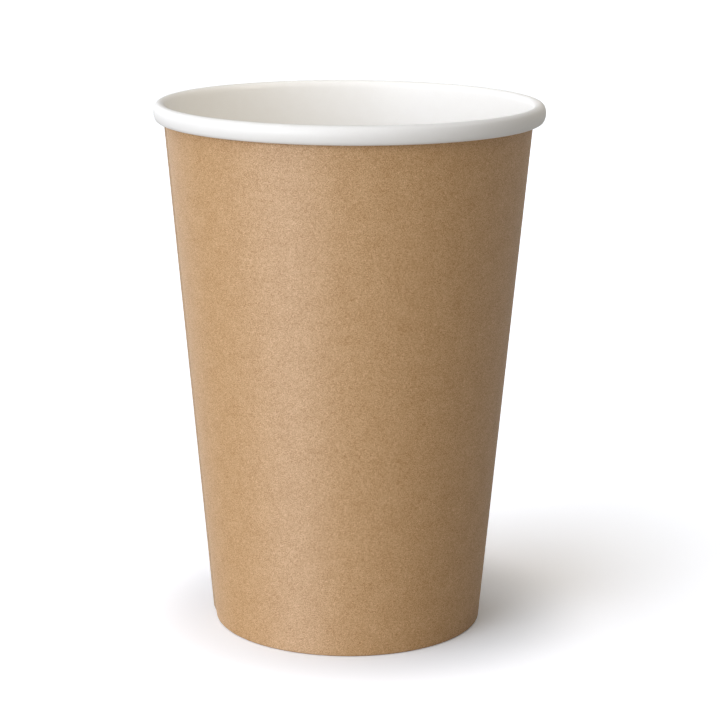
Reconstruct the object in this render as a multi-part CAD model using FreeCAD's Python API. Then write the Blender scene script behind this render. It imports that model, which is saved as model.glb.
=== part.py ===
# Paper coffee cup, brown kraft outside and white inside, built from two pieces of board.
# The side wall is one sheet, wrapped into a cone and lapped at its seam. Its top edge is rolled outwards into
# the rim, so the rim shows the sheet's white face, and its foot is folded under and up inside as a hem.
# The base disc is drawn down at its edge into a skirt, which the hem grips against the side wall.
# Frame: +Z up, origin on the table at the centre of the foot. Lengths in millimetres, angles in degrees.
import FreeCAD
import Part

import os
from math import asin, atan2, cos, degrees, hypot, radians, sin, sqrt, tan

# Overall sizes
RIM_DIAMETER = 80.0  # across the outside of the rolled rim, which a lid snaps over
BASE_DIAMETER = 56.0  # across the side wall's outer face, carried down to the table
HEIGHT = 109.5  # from the table to the top of the rim

# Board
WALL_BOARD = 0.40  # thickness of the side wall's board
BASE_BOARD = 0.30  # thickness of the base disc's board
SEAL_FILM = 0.02  # melted film between skirt and side wall, and between skirt and hem

# Rolled rim, an oval roll of the side wall's top edge
ROLL_WIDTH = 2.75  # across the roll, from the inside of the cup outwards
ROLL_HEIGHT = 3.75
ROLL_TIGHT_HALF = 65.0  # half the turn of the roll's tight bends at its top and its bottom
ROLL_GAP = 0.15  # between the side wall and the edge that is tucked in beside it
TUCK_TURN = 20.0  # how far the tucked edge goes on round inside the roll

# Foot
CREASE_RADIUS = 0.05  # inside radius of the fold that makes the hem
RECESS_DEPTH = 8.0  # from the table up to the underside of the base disc
HEM_SETBACK = 0.8  # from the base disc's bend down to the hem's cut edge
BASE_BEND = 0.50  # inside radius where the base disc turns down into its skirt
SKIRT_CLEARANCE = 0.30  # from the bottom of the skirt down to the fold

# Lap seam, with the outer layer's cut edge on show
SEAM_ANGLE = 172.0  # of the inner layer's cut edge, round the cup from +X
LAP_WIDTH = 7.5  # width of the lap at the top of the side wall
RAMP_WIDTH = 4.0  # width over which the outer layer comes down to the wall, at the top

ORIGIN = FreeCAD.Vector(0, 0, 0)
UP = FreeCAD.Vector(0, 0, 1)
FULL_TURN = 360.0
QUARTER_TURN = 90.0


def direction(angle):
    """Unit vector in the section plane: X is outwards from the cup's axis and Z is up."""
    return FreeCAD.Vector(cos(radians(angle)), 0, sin(radians(angle)))


class BoardSection:
    """Section of a bent sheet of board. It is walked along one face, with the board on the walk's left."""

    def __init__(self, start, heading, thickness):
        self.point = start
        self.heading = heading
        self.thickness = thickness
        self.walked_edges = []
        self.other_edges = []

    def other_side(self):
        return self.point + direction(self.heading + QUARTER_TURN) * self.thickness

    def straight(self, length):
        walked_from, other_from = self.point, self.other_side()
        self.point = self.point + direction(self.heading) * length
        self.walked_edges.append(Part.LineSegment(walked_from, self.point).toShape())
        self.other_edges.append(Part.LineSegment(other_from, self.other_side()).toShape())

    def bend(self, radius, turn):
        """Turns left, or right where turn is negative. radius is that of the walked face."""
        side = QUARTER_TURN if turn > 0 else -QUARTER_TURN
        centre = self.point + direction(self.heading + side) * radius
        walked, other = [self.point], [self.other_side()]
        for _ in range(2):
            self.heading += turn / 2
            self.point = centre - direction(self.heading + side) * radius
            walked.append(self.point)
            other.append(self.other_side())
        self.walked_edges.append(Part.Arc(*walked).toShape())
        self.other_edges.append(Part.Arc(*other).toShape())

    def face(self):
        end_cap = Part.LineSegment(self.point, self.other_side()).toShape()
        start = self.walked_edges[0].valueAt(self.walked_edges[0].FirstParameter)
        other_start = self.other_edges[0].valueAt(self.other_edges[0].FirstParameter)
        start_cap = Part.LineSegment(other_start, start).toShape()
        outline = [*self.walked_edges, end_cap, *reversed(self.other_edges), start_cap]
        return Part.Face(Part.Wire(outline))


def oval_radii(half_width, half_height):
    """Radii of the tight end bends and the wide side bends of an upright oval of four arcs."""
    tight_half = radians(ROLL_TIGHT_HALF)
    difference = (half_height - half_width) / (cos(tight_half) + sin(tight_half) - 1)
    tight = half_height - difference * cos(tight_half)
    return tight, tight + difference


# Rolled rim: its upper half is a full-width oval, and its lower half is narrower by the tucked edge's place
roll_side_turn = QUARTER_TURN - ROLL_TIGHT_HALF
roll_centre_radius = (RIM_DIAMETER - ROLL_WIDTH) / 2
roll_centre_height = HEIGHT - ROLL_HEIGHT / 2
top_bend, upper_side_bend = oval_radii(ROLL_WIDTH / 2, ROLL_HEIGHT / 2)
tucked_width = ROLL_WIDTH - WALL_BOARD - ROLL_GAP
bottom_bend, lower_side_bend = oval_radii(tucked_width / 2, ROLL_HEIGHT / 2)

# Side wall: its outer face leaves the table at the base diameter and runs tangent into the roll
side_bend_centre_radius = roll_centre_radius - ROLL_WIDTH / 2 + upper_side_bend
foot_radius = BASE_DIAMETER / 2
reach_out = side_bend_centre_radius - foot_radius
reach = hypot(reach_out, roll_centre_height)
inner_roll_radius = upper_side_bend - WALL_BOARD
taper = degrees(atan2(reach_out, roll_centre_height) - asin(inner_roll_radius / reach))
slope = tan(radians(taper))
slant = cos(radians(taper))
wall_slant_length = sqrt(reach**2 - inner_roll_radius**2)

# Foot: side wall, skirt and hem side by side, with the fold below them
fold_radius = CREASE_RADIUS + WALL_BOARD
skirt_depth = WALL_BOARD + SEAL_FILM + BASE_BOARD  # from the outer face in to the skirt's inner face
grip_depth = skirt_depth + SEAL_FILM + WALL_BOARD  # from the outer face in to the hem's bare face
outer_fold_turn = QUARTER_TURN - taper
inner_fold_turn = QUARTER_TURN + taper
outer_fold_setback = fold_radius * tan(radians(outer_fold_turn / 2))
inner_fold_setback = fold_radius * tan(radians(inner_fold_turn / 2))
foot_width = grip_depth / slant - outer_fold_setback - inner_fold_setback
base_bend_setback = BASE_BEND * tan(radians(inner_fold_turn / 2))
hem_height = RECESS_DEPTH - base_bend_setback - HEM_SETBACK
skirt_bottom = WALL_BOARD + SKIRT_CLEARANCE

# Lap seam
lap_step = WALL_BOARD / slant  # the outer layer's offset, measured straight out from the axis
wall_top_radius = foot_radius + roll_centre_height * slope
lap_angle = degrees(LAP_WIDTH / wall_top_radius)
ramp_angle = degrees(RAMP_WIDTH / wall_top_radius)
lap_top = HEIGHT - ROLL_HEIGHT + bottom_bend  # hidden behind the roll


def at_depth(depth, height):
    """Point in the section plane, at that height and that far in from the side wall's outer face."""
    return FreeCAD.Vector(foot_radius + height * slope - depth / slant, 0, height)


def turned(face, start_angle, angle):
    """Solid made by turning a section round the cup's axis, from start_angle onwards."""
    placed = face.rotated(ORIGIN, UP, start_angle)
    return placed.revolve(ORIGIN, UP, angle)


def side_wall_section():
    """Hem, fold, wall and roll in one sheet, walked up its brown face from the hem's cut edge."""
    board = BoardSection(at_depth(grip_depth, hem_height), -inner_fold_turn, WALL_BOARD)
    board.straight(hem_height / slant - inner_fold_setback)
    board.bend(fold_radius, inner_fold_turn)
    board.straight(foot_width)
    board.bend(fold_radius, outer_fold_turn)
    board.straight(wall_slant_length - outer_fold_setback)
    board.bend(inner_roll_radius, -(roll_side_turn - taper))
    board.bend(top_bend - WALL_BOARD, -2 * ROLL_TIGHT_HALF)
    board.bend(inner_roll_radius, -roll_side_turn)
    board.bend(lower_side_bend - WALL_BOARD, -roll_side_turn)
    board.bend(bottom_bend - WALL_BOARD, -2 * ROLL_TIGHT_HALF)
    board.bend(lower_side_bend - WALL_BOARD, -roll_side_turn)
    board.bend(inner_roll_radius - ROLL_GAP - WALL_BOARD, -TUCK_TURN)
    return board.face()


def lap_layer_section():
    """The lap's outer layer: the wall again, one board further out, from the fold up into the roll."""
    board = BoardSection(FreeCAD.Vector(foot_radius - outer_fold_setback, 0, 0), 0, WALL_BOARD)
    board.straight(lap_step)
    board.bend(fold_radius, outer_fold_turn)
    board.straight(lap_top / slant - outer_fold_setback)
    return board.face()


def ramp_wedge(depth, bottom, top):
    """Upright wedge at that depth in the wall: one board thick at the seam, and nothing at the ramp's far end."""
    ends = []
    for height in (bottom, top):
        corners = [
            (at_depth(depth - WALL_BOARD, height), SEAM_ANGLE),
            (at_depth(depth, height), SEAM_ANGLE),
            (at_depth(depth, height), SEAM_ANGLE - ramp_angle),
        ]
        spots = [FreeCAD.Rotation(UP, angle).multVec(corner) for corner, angle in corners]
        ends.append(Part.makePolygon([*spots, spots[0]]))
    return Part.makeLoft(ends, True, True)


def side_wall():
    """One sheet: a single thickness all round, doubled at the lap.

    Before the lap the sheet climbs one board outwards, over the cut edge of its own inner layer.
    """
    single = side_wall_section()
    double = single.fuse(lap_layer_section()).removeSplitter()
    ring = turned(single, SEAM_ANGLE + lap_angle, FULL_TURN - lap_angle)
    lap = turned(double, SEAM_ANGLE, lap_angle)
    climb = ramp_wedge(0, fold_radius, lap_top)
    hollow = ramp_wedge(WALL_BOARD, RECESS_DEPTH + BASE_BOARD, lap_top)
    return ring.fuse([lap, climb]).cut(hollow).removeSplitter()


def base_disc():
    """Flat disc drawn down into a skirt, which lies between the side wall and the hem."""
    corner = at_depth(skirt_depth, RECESS_DEPTH)
    board = BoardSection(FreeCAD.Vector(0, 0, RECESS_DEPTH), 0, BASE_BOARD)
    board.straight(corner.x - base_bend_setback)
    board.bend(BASE_BEND, -inner_fold_turn)
    board.straight((RECESS_DEPTH - skirt_bottom) / slant - base_bend_setback)
    return turned(board.face(), 0, FULL_TURN)


def main():
    os.makedirs("parts", exist_ok=True)
    for node, shape in (("side_wall", side_wall()), ("base_disc", base_disc())):
        solids = shape.Solids
        box = shape.optimalBoundingBox(False)
        shape.exportStep(f"parts/{node}.step")
        print(
            f"{node}: {len(solids)} solid, valid {shape.isValid()}, {shape.Volume:.1f} mm3,",
            f"{box.XLength:.2f} x {box.YLength:.2f} x {box.ZLength:.2f} mm",
        )


main()
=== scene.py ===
from math import asin, atan2, cos, degrees, hypot, pi, radians, sin, sqrt, tan

import bmesh
import bpy
from mathutils import Matrix, Vector


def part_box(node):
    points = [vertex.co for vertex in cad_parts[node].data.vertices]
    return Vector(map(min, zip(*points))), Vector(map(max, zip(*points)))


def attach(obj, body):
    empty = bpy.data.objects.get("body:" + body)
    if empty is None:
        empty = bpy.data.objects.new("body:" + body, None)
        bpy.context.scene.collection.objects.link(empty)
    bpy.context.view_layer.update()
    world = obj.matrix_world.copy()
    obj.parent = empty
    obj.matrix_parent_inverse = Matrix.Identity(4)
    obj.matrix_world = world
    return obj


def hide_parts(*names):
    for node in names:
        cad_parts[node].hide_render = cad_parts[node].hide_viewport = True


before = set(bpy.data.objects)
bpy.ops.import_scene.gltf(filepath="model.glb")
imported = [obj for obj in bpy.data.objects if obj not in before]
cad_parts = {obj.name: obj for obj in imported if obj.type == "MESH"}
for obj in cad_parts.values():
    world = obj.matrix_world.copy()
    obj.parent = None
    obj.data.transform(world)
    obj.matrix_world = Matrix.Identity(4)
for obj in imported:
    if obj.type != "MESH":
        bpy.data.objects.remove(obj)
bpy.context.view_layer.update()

# Lengths are in metres and angles in degrees
MM = 0.001
QUARTER_TURN = 90.0
FULL_TURN = 360.0
AXIS_FOOT = (0, 0, 0)
UP = (0, 0, 1)

# Sizes that the frame gives
_, wall_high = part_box("side_wall")
disc_low, disc_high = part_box("base_disc")
height = wall_high.z
rim_radius = wall_high.x

# Board, rim and foot
WALL_BOARD = 0.40 * MM
BASE_BOARD = 0.30 * MM
FOOT_RADIUS = 28.0 * MM
ROLL_WIDTH = 2.75 * MM
ROLL_HEIGHT = 3.75 * MM
ROLL_TIGHT_HALF = 65.0  # half the turn of the roll's tight bends
ROLL_GAP = 0.15 * MM  # between the side wall and the edge that is tucked in beside it
TUCK_TURN = 20.0
CREASE_RADIUS = 0.05 * MM
SEAL_FILM = 0.02 * MM
HEM_SETBACK = 0.8 * MM  # from the base disc's bend down to the hem's cut edge
BASE_BEND = 0.50 * MM
recess_depth = disc_high.z - BASE_BOARD
skirt_bottom = disc_low.z

# Lap seam
SEAM_ANGLE = 172.0  # of the inner layer's cut edge, round the cup from +X
LAP_WIDTH = 7.5 * MM
RAMP_WIDTH = 4.0 * MM  # over which the sheet climbs onto its own inner layer
LAP_CLEARANCE = 0.01 * MM
PRESSED_SHARE = 0.15  # the inner layer's share of the board where rim and foot press the lap flat
PRESSED_TURN = 1.0  # past the lap, until the pressed layer is back at the full board
FOOT_BLEND = 1.2 * MM  # stretch of wall where the lap's step rises above the pressed foot
ROLL_BLEND = 1.6 * MM  # stretch of wall where it sinks again below the pressed rim

# Knurling of the hem, pressed in from inside the foot
RIBS = 88
RIB_DEPTH = 0.07 * MM
COLUMNS_PER_RIB = 6
THICKEST = 1.25  # of the board, on the crest of a rib
HEM_PLAIN_SHARE = 0.12  # of the hem's length, beside its cut edge
HEM_RISE_SHARE = 0.08  # where the ribs rise
HEM_RIB_SHARE = 0.6
HEM_FADE_SHARE = 0.2  # where the ribs fade towards the fold

# Fineness of the meshes
FOLD_STEPS = 6
ROLL_SIDE_STEPS = 3
DISC_COLUMNS = 192
MERGE_DISTANCE = 0.001 * MM
SHARP_ANGLE = 40.0

# A sheet's finishes are listed in this order: outside, inside and cut edge
INSIDE_FINISH = 1
EDGE_FINISH = 2


class BoardOutline:
    """A sheet of board seen edge on: one line of vertices along its outside, drawn by straights and bends."""

    def __init__(self, start, heading):
        self.mesh = bmesh.new()
        self.on_wall = self.mesh.verts.layers.float.new("on_wall")
        self.knurled = self.mesh.verts.layers.float.new("knurled")
        self.turn = self.mesh.verts.layers.float.new("turn")
        self.walked = self.mesh.verts.layers.float.new("walked")
        self.tip = self.mesh.verts.new(start)
        self.heading = heading

    def direction(self, turned=0.0):
        angle = radians(self.heading + turned)
        return Vector((cos(angle), 0, sin(angle)))

    def straight(self, length, rows=1, on_wall=0.0, knurled=0.0):
        for _ in range(rows):
            self.tip = bmesh.ops.extrude_vert_indiv(self.mesh, verts=[self.tip])["verts"][0]
            self.tip.co += self.direction() * (length / rows)
            self.tip[self.on_wall] = on_wall
            self.tip[self.knurled] = knurled

    def bend(self, radius, turn, steps):
        """Turns left, or right where turn is negative."""
        side = QUARTER_TURN if turn > 0 else -QUARTER_TURN
        centre = self.tip.co + self.direction(side) * radius
        self.tip[self.on_wall] = 0.0
        self.tip[self.knurled] = 0.0
        swept = bmesh.ops.spin(
            self.mesh,
            geom=[self.tip],
            cent=centre,
            axis=(0, -1, 0),
            angle=radians(turn),
            steps=steps,
            use_merge=False,
        )
        self.heading += turn
        self.tip = next(item for item in swept["geom_last"] if isinstance(item, bmesh.types.BMVert))

    def wrap(self, start_angle, turn_angle, columns):
        """Sweeps the outline round the cup's axis.

        Each vertex keeps a note of how far round it is, and how far along the board.
        """
        self.mesh.verts.index_update()
        outline = self.mesh.verts[:]
        count = len(outline)
        walked = [0.0]
        for before, after in zip(outline, outline[1:]):
            walked.append(walked[-1] + (after.co - before.co).length)
        start = Matrix.Rotation(radians(start_angle), 3, "Z")
        bmesh.ops.rotate(self.mesh, verts=self.mesh.verts[:], cent=AXIS_FOOT, matrix=start)
        bmesh.ops.spin(
            self.mesh,
            geom=self.mesh.verts[:] + self.mesh.edges[:],
            cent=AXIS_FOOT,
            axis=UP,
            angle=radians(turn_angle),
            steps=columns,
            use_merge=False,
        )
        self.mesh.verts.index_update()
        for vert in self.mesh.verts:
            vert[self.turn] = vert.index // count * turn_angle / columns
            vert[self.walked] = walked[vert.index % count]

    def lay_flat(self, walked_at_apex, share):
        """Maps each face to its place on the flat blank.

        The board's length is measured from the cone's apex, and share is the blank's part of a full turn.
        """
        blank = self.mesh.loops.layers.uv.new("blank")
        for face in self.mesh.faces:
            for corner in face.loops:
                along = corner.vert[self.walked] - walked_at_apex
                turn = radians(corner.vert[self.turn]) * share
                corner[blank].uv = (along * sin(turn), along * cos(turn))


def smooth_step(value):
    value = min(max(value, 0.0), 1.0)
    return value * value * (3 - 2 * value)


def oval_radii(half_width, half_height):
    """Radii of the tight end bends and the wide side bends of an upright oval of four arcs."""
    tight_half = radians(ROLL_TIGHT_HALF)
    difference = (half_height - half_width) / (cos(tight_half) + sin(tight_half) - 1)
    tight = half_height - difference * cos(tight_half)
    return tight, tight + difference


def linked(name, data):
    """A new object in the scene."""
    added = bpy.data.objects.new(name, data)
    bpy.context.scene.collection.objects.link(added)
    return added


def finished(name, mesh, finishes, thickness, board_shares=None):
    """Gives a sheet its thickness and its finishes. board_shares are each vertex's share of the thickness."""
    flat = bpy.data.meshes.new(name)
    mesh.to_mesh(flat)
    mesh.free()
    for finish in finishes:
        flat.materials.append(finish)
    piece = linked(name, flat)
    board = piece.modifiers.new("Board", "SOLIDIFY")
    board.thickness = thickness
    board.offset = -1
    board.use_even_offset = True
    board.material_offset = INSIDE_FINISH
    board.material_offset_rim = EDGE_FINISH
    if board_shares is not None:
        group = piece.vertex_groups.new(name="board")
        for index, share in enumerate(board_shares):
            group.add([index], share, "REPLACE")
        board.vertex_group = "board"
        board.thickness_vertex_group = 0.0
    bpy.context.view_layer.update()
    solid = bpy.data.meshes.new_from_object(piece.evaluated_get(bpy.context.evaluated_depsgraph_get()))
    piece.modifiers.clear()
    piece.vertex_groups.clear()
    piece.data = solid
    solid.shade_smooth()
    solid.set_sharp_from_angle(angle=radians(SHARP_ANGLE))
    return piece


# Shape of the side wall's section, worked out as the rim and the foot need it
roll_side_turn = QUARTER_TURN - ROLL_TIGHT_HALF
roll_centre_radius = rim_radius - ROLL_WIDTH / 2
roll_centre_height = height - ROLL_HEIGHT / 2
top_bend, upper_side_bend = oval_radii(ROLL_WIDTH / 2, ROLL_HEIGHT / 2)
bottom_bend, lower_side_bend = oval_radii((ROLL_WIDTH - WALL_BOARD - ROLL_GAP) / 2, ROLL_HEIGHT / 2)
reach_out = roll_centre_radius - ROLL_WIDTH / 2 + upper_side_bend - FOOT_RADIUS
reach = hypot(reach_out, roll_centre_height)
inner_roll_radius = upper_side_bend - WALL_BOARD
taper = degrees(atan2(reach_out, roll_centre_height) - asin(inner_roll_radius / reach))
slope = tan(radians(taper))
slant = cos(radians(taper))
wall_slant_length = sqrt(reach**2 - inner_roll_radius**2)
fold_radius = CREASE_RADIUS + WALL_BOARD
skirt_depth = WALL_BOARD + SEAL_FILM + BASE_BOARD
grip_depth = skirt_depth + SEAL_FILM + WALL_BOARD
outer_fold_turn = QUARTER_TURN - taper
inner_fold_turn = QUARTER_TURN + taper
outer_fold_setback = fold_radius * tan(radians(outer_fold_turn / 2))
inner_fold_setback = fold_radius * tan(radians(inner_fold_turn / 2))
foot_width = grip_depth / slant - outer_fold_setback - inner_fold_setback
base_bend_setback = BASE_BEND * tan(radians(inner_fold_turn / 2))
hem_height = recess_depth - base_bend_setback - HEM_SETBACK
wall_top_radius = FOOT_RADIUS + roll_centre_height * slope
lap_angle = degrees(LAP_WIDTH / wall_top_radius)
ramp_angle = degrees(RAMP_WIDTH / wall_top_radius)


def at_depth(depth, level):
    """Point in the section plane, at that height and that far in from the side wall's outer face."""
    return Vector((FOOT_RADIUS + level * slope - depth / slant, 0, level))


def side_wall_outline():
    """Hem, fold, wall and rolled rim, walked up the brown face from the hem's cut edge."""
    outline = BoardOutline(at_depth(grip_depth, hem_height), -inner_fold_turn)
    hem_length = hem_height / slant - inner_fold_setback
    outline.straight(hem_length * HEM_PLAIN_SHARE)
    outline.straight(hem_length * HEM_RISE_SHARE, knurled=1.0)
    outline.straight(hem_length * HEM_RIB_SHARE, rows=2, knurled=1.0)
    outline.straight(hem_length * HEM_FADE_SHARE)
    outline.bend(fold_radius, inner_fold_turn, FOLD_STEPS)
    outline.straight(foot_width)
    outline.bend(fold_radius, outer_fold_turn, FOLD_STEPS)
    body_length = wall_slant_length - outer_fold_setback
    outline.straight(FOOT_BLEND, on_wall=1.0)
    outline.straight(body_length - FOOT_BLEND - ROLL_BLEND, rows=8, on_wall=1.0)
    outline.straight(ROLL_BLEND)
    outline.bend(inner_roll_radius, -(roll_side_turn - taper), ROLL_SIDE_STEPS)
    outline.bend(top_bend - WALL_BOARD, -2 * ROLL_TIGHT_HALF, steps=10)
    outline.bend(inner_roll_radius, -roll_side_turn, ROLL_SIDE_STEPS)
    outline.bend(lower_side_bend - WALL_BOARD, -roll_side_turn, ROLL_SIDE_STEPS)
    outline.bend(bottom_bend - WALL_BOARD, -2 * ROLL_TIGHT_HALF, steps=8)
    outline.bend(lower_side_bend - WALL_BOARD, -roll_side_turn, ROLL_SIDE_STEPS)
    outline.bend(inner_roll_radius - ROLL_GAP - WALL_BOARD, -TUCK_TURN, steps=2)
    return outline


def side_wall_sheet(finishes):
    """One sheet from the hem up into the rolled rim, lapped at its seam.

    On the wall the sheet climbs over its own inner layer. At the rim and the foot the lap is pressed flat
    instead, and there the two layers share one board's thickness.
    """
    outline = side_wall_outline()
    whole_turn = FULL_TURN + lap_angle
    outline.wrap(SEAM_ANGLE, whole_turn, round(RIBS * COLUMNS_PER_RIB * whole_turn / FULL_TURN))
    mesh = outline.mesh
    on_body = next(vert for vert in mesh.verts if vert[outline.on_wall])
    apex = on_body[outline.walked] - on_body.co.xy.length / sin(radians(taper))
    outline.lay_flat(apex, sin(radians(taper)))
    mesh.faces.ensure_lookup_table()
    mesh.normal_update()
    wall_face = max(mesh.faces, key=lambda face: face.calc_area())
    middle = wall_face.calc_center_median()
    if wall_face.normal.dot(Vector((middle.x, middle.y, 0))) < 0:
        bmesh.ops.reverse_faces(mesh, faces=mesh.faces[:])
    mesh.normal_update()

    board_shares = []
    moves = []
    for vert in mesh.verts:
        turn = vert[outline.turn]
        on_wall = vert[outline.on_wall]
        pressed = 1 - on_wall
        climbed = smooth_step((turn - FULL_TURN + ramp_angle) / ramp_angle)
        covered = 1 - smooth_step((turn - lap_angle) / PRESSED_TURN)
        rib = vert[outline.knurled] * RIB_DEPTH * cos(radians(RIBS * turn))
        lift = (WALL_BOARD + LAP_CLEARANCE) * climbed * on_wall
        sink = (1 - PRESSED_SHARE) * WALL_BOARD * covered * pressed
        share = 1 - PRESSED_SHARE * climbed * pressed - (1 - PRESSED_SHARE) * covered * pressed
        moves.append((vert, vert.normal * (lift - sink + rib)))
        board_shares.append((share + rib / WALL_BOARD) / THICKEST)
    for vert, move in moves:
        vert.co += move
    return finished("side_wall_sheet", mesh, finishes, WALL_BOARD * THICKEST, board_shares)


def base_disc_sheet(finishes):
    """Round blank drawn down into its skirt, walked along its underside from the cup's axis."""
    corner = at_depth(skirt_depth, recess_depth)
    outline = BoardOutline(Vector((0, 0, recess_depth)), 0)
    outline.straight(corner.x - base_bend_setback, rows=6)
    outline.bend(BASE_BEND, -inner_fold_turn, steps=7)
    outline.straight((recess_depth - skirt_bottom) / slant - base_bend_setback, rows=2)
    outline.wrap(0, FULL_TURN, DISC_COLUMNS)
    outline.lay_flat(0.0, 1.0)
    mesh = outline.mesh
    bmesh.ops.remove_doubles(mesh, verts=mesh.verts[:], dist=MERGE_DISTANCE)
    mesh.normal_update()
    mesh.faces.ensure_lookup_table()
    underside_face = min(mesh.faces, key=lambda face: face.calc_center_median().xy.length)
    if underside_face.normal.z > 0:
        bmesh.ops.reverse_faces(mesh, faces=mesh.faces[:])
    return finished("base_disc_sheet", mesh, finishes, BASE_BOARD)


class Value:
    """A number, colour or vector in a finish's nodes. Python's operators on numbers add Math nodes."""

    def __init__(self, finish, socket):
        self.finish = finish
        self.socket = socket

    def maths(self, operation, *numbers):
        return self.finish.node("ShaderNodeMath", {"operation": operation}, dict(enumerate(numbers)))["Value"]

    def __add__(self, other):
        return self.maths("ADD", self, other)

    def __radd__(self, other):
        return self.maths("ADD", other, self)

    def __sub__(self, other):
        return self.maths("SUBTRACT", self, other)

    def __rsub__(self, other):
        return self.maths("SUBTRACT", other, self)

    def __mul__(self, other):
        return self.maths("MULTIPLY", self, other)

    def __rmul__(self, other):
        return self.maths("MULTIPLY", other, self)

    def larger(self, other):
        return self.maths("MAXIMUM", self, other)

    def smaller(self, other):
        return self.maths("MINIMUM", self, other)


class Finish:
    """The nodes of one material, or of the world."""

    def __init__(self, owner):
        self.owner = owner
        owner.use_nodes = True
        self.tree = owner.node_tree
        self.tree.nodes.clear()

    def node(self, kind, settings=None, inputs=None):
        """Adds a node. Its settings are set first, then its sockets, by identifier or number."""
        added = self.tree.nodes.new(kind)
        for setting, value in (settings or {}).items():
            setattr(added, setting, value)
        for key, value in (inputs or {}).items():
            if isinstance(key, int):
                socket = added.inputs[key]
            else:
                socket = next(each for each in added.inputs if each.identifier == key)
            if isinstance(value, Value):
                self.tree.links.new(value.socket, socket)
            else:
                socket.default_value = value
        return {each.identifier: Value(self, each) for each in added.outputs}

    def spots(self, place, size, turned=0.0):
        """Place counted in spots of that size, which lie at that angle."""
        inputs = {"Vector": place, "Scale": size, "Rotation": (0, 0, radians(turned))}
        return self.node("ShaderNodeMapping", {"vector_type": "TEXTURE"}, inputs)["Vector"]

    def on_object(self, size):
        """Place on the object, counted in spots of that size."""
        return self.spots(self.node("ShaderNodeTexCoord")["Object"], size)

    def on_blank(self, length, width=None, turned=0.0):
        """Place on the sheet's flat blank, counted in spots of that size, or round spots without a width."""
        place = self.node("ShaderNodeUVMap", {"uv_map": "blank"})["UV"]
        return self.spots(place, (length, width or length, 1), turned)

    def noise(self, place, detail=2.0, roughness=0.5, distortion=0.0):
        """Soft cloudy pattern from 0 to 1, with spots of about size 1."""
        inputs = {
            "Vector": place,
            "Scale": 1.0,
            "Detail": detail,
            "Roughness": roughness,
            "Distortion": distortion,
        }
        return self.node("ShaderNodeTexNoise", None, inputs)["Fac"]

    def blend(self, amount, first, second):
        """Mixes two colours."""
        inputs = {"Factor_Float": amount, "A_Color": first, "B_Color": second}
        return self.node("ShaderNodeMix", {"data_type": "RGBA"}, inputs)["Result_Color"]

    def ramp(self, amount, start, end, top=1.0):
        """Soft rise from 0 to top, as amount goes from start to end."""
        inputs = {"Value": amount, "From Min": start, "From Max": end, "To Min": 0.0, "To Max": top}
        return self.node("ShaderNodeMapRange", {"interpolation_type": "SMOOTHSTEP"}, inputs)["Result"]

    def relief(self, level, depth, strength):
        """Bumps of that depth."""
        inputs = {"Height": level, "Distance": depth, "Strength": strength}
        return self.node("ShaderNodeBump", None, inputs)["Normal"]

    def board(self, look):
        """The material, with a board's look: its base colour, roughness, bumps and gloss."""
        return self.surface(self.node("ShaderNodeBsdfPrincipled", None, look)["BSDF"])

    def surface(self, shader):
        self.node("ShaderNodeOutputMaterial", None, {"Surface": shader})
        return self.owner


MIDDLE = 0.5  # of a noise from 0 to 1

# Kraft face
STRAND_ANGLES = (8, 43, 79, 118, 154)
STRAND_LENGTH = 0.9 * MM
STRAND_WIDTH = 0.16 * MM
STRAND_WAVINESS = 0.5
PALE_MIDDLE = 0.66  # of the largest of the strands' noises
PALE_GAIN = 1.5
DARK_MIDDLE = 0.34  # of the smallest of them
GRAIN_SIZE = 0.22 * MM
GRAIN_GAIN = 1.2
KRAFT_CONTRAST = 1.15
KRAFT_CLOUD_SIZE = 4.0 * MM
KRAFT_CLOUD_GAIN = 0.3
KRAFT_DARK = (0.374, 0.169, 0.027, 1)
KRAFT_PALE = (0.778, 0.509, 0.27, 1)
KRAFT_ROUGHNESS = 0.6
FIBRE_SMOOTHNESS = 0.2  # how much less rough a pale fibre is
KRAFT_IOR = 1.65
KRAFT_STRETCH = 0.8  # of the gloss
KRAFT_STRETCH_TURN = 0.25  # in full turns
KRAFT_BUMP = 0.03 * MM

# Coated face
WAVE_SIZE = 2.4 * MM
COATED_FIBRE_SIZE = 0.5 * MM
WAVE_COLOUR_SHARE = 0.6
WAVE_BUMP_SHARE = 0.7
COATED_DARK = (0.905, 0.888, 0.852, 1)
COATED_PALE = (0.94, 0.93, 0.905, 1)
COATED_ROUGHNESS = 0.40
COATED_ROUGHNESS_RANGE = 0.15
COATED_GLOSS = 0.35
COATED_BUMP = 0.02 * MM

# Cut edge and bare base
LAYER_SIZE = (0.12 * MM, 0.12 * MM, 0.5 * MM)
EDGE_DARK = (0.40, 0.26, 0.14, 1)
EDGE_PALE = (0.72, 0.60, 0.46, 1)
EDGE_ROUGHNESS = 0.85
EDGE_BUMP = 0.02 * MM
BASE_FIBRE_SIZE = 0.45 * MM
BASE_CLOUD_SIZE = 4.0 * MM
BASE_FIBRE_SHARE = 0.6
BASE_DARK = (0.74, 0.71, 0.65, 1)
BASE_PALE = (0.86, 0.84, 0.79, 1)
BASE_ROUGHNESS = 0.75
BASE_BUMP = 0.03 * MM


def together(first, second, share):
    """Two patterns in one, with that share of the first."""
    return first * share + second * (1 - share)


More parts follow.
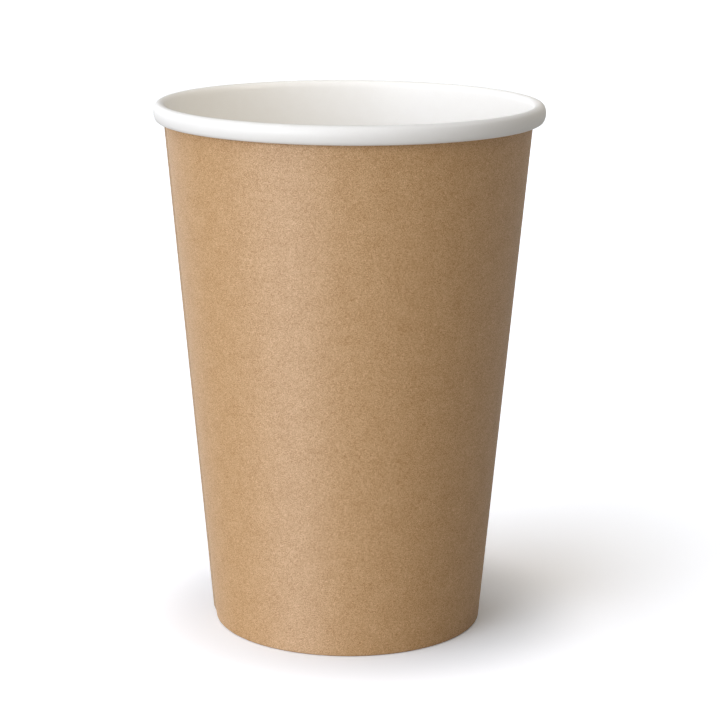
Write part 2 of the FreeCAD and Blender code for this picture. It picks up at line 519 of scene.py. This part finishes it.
def kraft_finish():
    """Unbleached brown kraft: pale and dark fibres that cross in every direction, and a faint cloudiness.

    Its gloss is drawn out along the wall, so that a lamp leaves an upright sheen.
    """
    finish = Finish(bpy.data.materials.new("brown_kraft_face"))
    pale = dark = None
    for angle in STRAND_ANGLES:
        place = finish.on_blank(STRAND_LENGTH, STRAND_WIDTH, angle)
        strand = finish.noise(place, detail=1.0, distortion=STRAND_WAVINESS)
        pale = strand if pale is None else pale.larger(strand)
        dark = strand if dark is None else dark.smaller(strand)
    grain = finish.noise(finish.on_blank(GRAIN_SIZE), detail=1.0)
    clouds = finish.noise(finish.on_blank(KRAFT_CLOUD_SIZE))
    fibres = (pale - PALE_MIDDLE) * PALE_GAIN + (dark - DARK_MIDDLE) + (grain - MIDDLE) * GRAIN_GAIN
    tone = fibres * KRAFT_CONTRAST + (clouds - MIDDLE) * KRAFT_CLOUD_GAIN + MIDDLE
    look = {
        "Base Color": finish.blend(tone, KRAFT_DARK, KRAFT_PALE),
        "Roughness": KRAFT_ROUGHNESS - fibres * FIBRE_SMOOTHNESS,
        "IOR": KRAFT_IOR,
        "Specular IOR Level": 1.0,
        "Anisotropic": KRAFT_STRETCH,
        "Anisotropic Rotation": KRAFT_STRETCH_TURN,
        "Normal": finish.relief(fibres, KRAFT_BUMP, strength=0.5),
    }
    return finish.board(look)


def coated_finish():
    """White board under a thin clear coating, smooth with a faint waviness."""
    finish = Finish(bpy.data.materials.new("white_coated_face"))
    waves = finish.noise(finish.on_blank(WAVE_SIZE))
    fibres = finish.noise(finish.on_blank(COATED_FIBRE_SIZE), detail=1.5)
    look = {
        "Base Color": finish.blend(together(waves, fibres, WAVE_COLOUR_SHARE), COATED_DARK, COATED_PALE),
        "Roughness": COATED_ROUGHNESS + (fibres - MIDDLE) * COATED_ROUGHNESS_RANGE,
        "Specular IOR Level": COATED_GLOSS,
        "Normal": finish.relief(together(waves, fibres, WAVE_BUMP_SHARE), COATED_BUMP, strength=0.4),
    }
    return finish.board(look)


def cut_edge_finish():
    """The board's cut edge: layers of pale brown fibre."""
    finish = Finish(bpy.data.materials.new("cut_board_edge"))
    layers = finish.noise(finish.on_object(LAYER_SIZE))
    look = {
        "Base Color": finish.blend(layers, EDGE_DARK, EDGE_PALE),
        "Roughness": EDGE_ROUGHNESS,
        "Normal": finish.relief(layers, EDGE_BUMP, strength=0.5),
    }
    return finish.board(look)


def bare_base_finish():
    """The base disc's underside: white board without a coating."""
    finish = Finish(bpy.data.materials.new("uncoated_base_face"))
    fibres = finish.noise(finish.on_blank(BASE_FIBRE_SIZE), roughness=0.6)
    clouds = finish.noise(finish.on_blank(BASE_CLOUD_SIZE))
    look = {
        "Base Color": finish.blend(together(fibres, clouds, BASE_FIBRE_SHARE), BASE_DARK, BASE_PALE),
        "Roughness": BASE_ROUGHNESS,
        "Normal": finish.relief(fibres, BASE_BUMP, strength=0.5),
    }
    return finish.board(look)


# The cup
kraft = kraft_finish()
coated = coated_finish()
cut_edge = cut_edge_finish()
bare_base = bare_base_finish()

side_wall = side_wall_sheet([kraft, coated, cut_edge])
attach(side_wall, "root")
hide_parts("side_wall")

base_disc = base_disc_sheet([bare_base, coated, cut_edge])
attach(base_disc, "root")
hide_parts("base_disc")


# Table: white to the camera, with a painted shadow round the cup's foot, and grey in reflections and in the
# light that it sends back to the cup
FLOOR_SIZE = 8.0
FLOOR_SEEN = (1.62, 1.66, 1.72, 1)  # bright enough that only the cup's shadow is darker than white
FLOOR_SEEN_PAINTED_SHADOW = (1.08, 1.13, 1.19, 1)  # painted shadow: less bright round the cup's foot, so that the shadow there is as deep as the photograph's
PAINTED_SHADOW_REACH = 56 * MM  # from the cup's axis, where the painted shadow round the foot has faded out
FLOOR_IN_REFLECTIONS = (0.60, 0.60, 0.60, 1)
FLOOR_IN_BOUNCES = (0.50, 0.49, 0.47, 1)


def table_finish():
    finish = Finish(bpy.data.materials.new("white_table"))
    light_path = finish.node("ShaderNodeLightPath")
    unseen = finish.blend(light_path["Is Glossy Ray"], FLOOR_IN_BOUNCES, FLOOR_IN_REFLECTIONS)
    place = finish.node("ShaderNodeTexCoord")["Object"]
    from_axis = finish.node("ShaderNodeVectorMath", {"operation": "LENGTH"}, {"Vector": place})["Value"]
    # Painted shadow: the table seen by the camera is greyer round the cup's foot, and fades to its full white
    # further out
    painted_shadow_fade = finish.ramp(from_axis, FOOT_RADIUS, PAINTED_SHADOW_REACH)
    seen = finish.blend(painted_shadow_fade, FLOOR_SEEN_PAINTED_SHADOW, FLOOR_SEEN)
    tint = finish.blend(light_path["Is Camera Ray"], unseen, seen)
    return finish.surface(finish.node("ShaderNodeBsdfDiffuse", None, {"Color": tint})["BSDF"])


floor_mesh = bmesh.new()
bmesh.ops.create_grid(floor_mesh, x_segments=1, y_segments=1, size=FLOOR_SIZE / 2)
floor_data = bpy.data.meshes.new("table")
floor_mesh.to_mesh(floor_data)
floor_mesh.free()
floor_data.materials.append(table_finish())
floor = linked("table", floor_data)

# World: white to the camera, and for the cup a pale backdrop behind it and darkness on the camera's side
BACKDROP_LEVEL = 0.39
BACKDROP_START = -0.2  # in the Y of a ray's direction
BACKDROP_FULL = 0.4
WHITE = (1, 1, 1, 1)
KEY_TINT = (0.98, 1.01, 1.08)
FILL_TINT = (1.0, 0.955, 0.89)
world = bpy.data.worlds.new("studio")
bpy.context.scene.world = world
studio = Finish(world)
ray = studio.node("ShaderNodeTexCoord")["Generated"]
away = studio.node("ShaderNodeSeparateXYZ", None, {"Vector": ray})["Y"]
backdrop = studio.ramp(away, BACKDROP_START, BACKDROP_FULL, BACKDROP_LEVEL)
from_camera = studio.node("ShaderNodeLightPath")["Is Camera Ray"]
sky_look = {
    "Color": studio.blend(from_camera, (*FILL_TINT, 1), WHITE),
    "Strength": backdrop.larger(from_camera),
}
sky = studio.node("ShaderNodeBackground", None, sky_look)["Background"]
studio.node("ShaderNodeOutputWorld", None, {"Surface": sky})


def aim_back(item, backwards):
    """Turns a lamp so that its back points that way, and its light goes the other way."""
    item.rotation_euler = backwards.to_track_quat("Z", "Y").to_euler()


def soft_lamp(name, azimuth, elevation, spread, level, tint):
    """Distant lamp, that many degrees wide. azimuth is to the left of straight in front of the cup."""
    lamp_data = bpy.data.lights.new(name, "SUN")
    lamp_data.energy = level * pi
    lamp_data.angle = radians(spread)
    lamp_data.color = tint
    lamp = linked(name, lamp_data)
    level_way = Vector((-sin(radians(azimuth)), -cos(radians(azimuth)), 0))
    aim_back(lamp, level_way * cos(radians(elevation)) + Vector((0, 0, sin(radians(elevation)))))


# Softboxes at the left, from table height up to overhead and round behind the cup, a weak fill from the
# camera's side, and a weak lamp overhead at the right: azimuth, elevation, spread, level and tint
SOFT_LAMPS = {
    "softbox_low": (68, 7, 45, 0.21, KEY_TINT),
    "softbox_middle": (38, 9, 40, 0.55, KEY_TINT),
    "softbox_upper": (50, 38, 45, 0.08, KEY_TINT),
    "softbox_top": (68, 60, 45, 0.25, KEY_TINT),
    "softbox_rear": (142, 8, 45, 0.19, KEY_TINT),
    "fill": (0, 16, 60, 0.17, FILL_TINT),
    "overhead_right": (-40, 64, 50, 0.14, FILL_TINT),
}
for lamp_name, lamp_settings in SOFT_LAMPS.items():
    soft_lamp(lamp_name, *lamp_settings)

# A small warm lamp shines in through the opening, on the inner face at the left
OPENING_LAMP_LEVEL = 0.26
OPENING_LAMP_TINT = (1.0, 0.9, 0.74)
OPENING_LAMP_PLACE = Vector((250.0, -60.0, 285.0)) * MM
OPENING_LAMP_TARGET = Vector((-27.0, 22.0, 95.0)) * MM
OPENING_LAMP_CONE = 14.0
OPENING_LAMP_RADIUS = 10 * MM
lamp_back = OPENING_LAMP_PLACE - OPENING_LAMP_TARGET
opening_data = bpy.data.lights.new("opening_lamp", "SPOT")
opening_data.energy = OPENING_LAMP_LEVEL * 4 * pi**2 * lamp_back.length_squared
opening_data.color = OPENING_LAMP_TINT
opening_data.spot_size = radians(OPENING_LAMP_CONE)
opening_data.spot_blend = 1.0
opening_data.shadow_soft_size = OPENING_LAMP_RADIUS
opening_lamp = linked("opening_lamp", opening_data)
opening_lamp.location = OPENING_LAMP_PLACE
aim_back(opening_lamp, lamp_back)

# Camera, fitted to the cup's outline in the photograph
FOCAL_PIXELS = 2303.1
PICTURE_PIXELS = 720
SENSOR_WIDTH = 36.0
NEAR_CLIP = 0.01
CAMERA_PITCH = 13.293
CAMERA_ROLL = 0.321
CAMERA_DISTANCE = 481.825 * MM
CAMERA_AIM = Vector((2.406, 0.0, 55.257)) * MM
pitch = radians(CAMERA_PITCH)
roll = radians(CAMERA_ROLL)
view = Vector((0, cos(pitch), -sin(pitch)))
level_right = Vector((1, 0, 0))
level_up = Vector((0, sin(pitch), cos(pitch)))
right = cos(roll) * level_right + sin(roll) * level_up
up = -sin(roll) * level_right + cos(roll) * level_up
camera_data = bpy.data.cameras.new("camera")
camera_data.sensor_width = SENSOR_WIDTH
camera_data.lens = FOCAL_PIXELS * SENSOR_WIDTH / PICTURE_PIXELS
camera_data.clip_start = NEAR_CLIP
camera = linked("camera", camera_data)
camera.matrix_world = Matrix.Translation(CAMERA_AIM - CAMERA_DISTANCE * view) @ Matrix(
    (
        (right.x, up.x, -view.x, 0),
        (right.y, up.y, -view.y, 0),
        (right.z, up.z, -view.z, 0),
        (0, 0, 0, 1),
    )
)
bpy.context.scene.camera = camera

bpy.context.scene.view_settings.view_transform = "Standard"
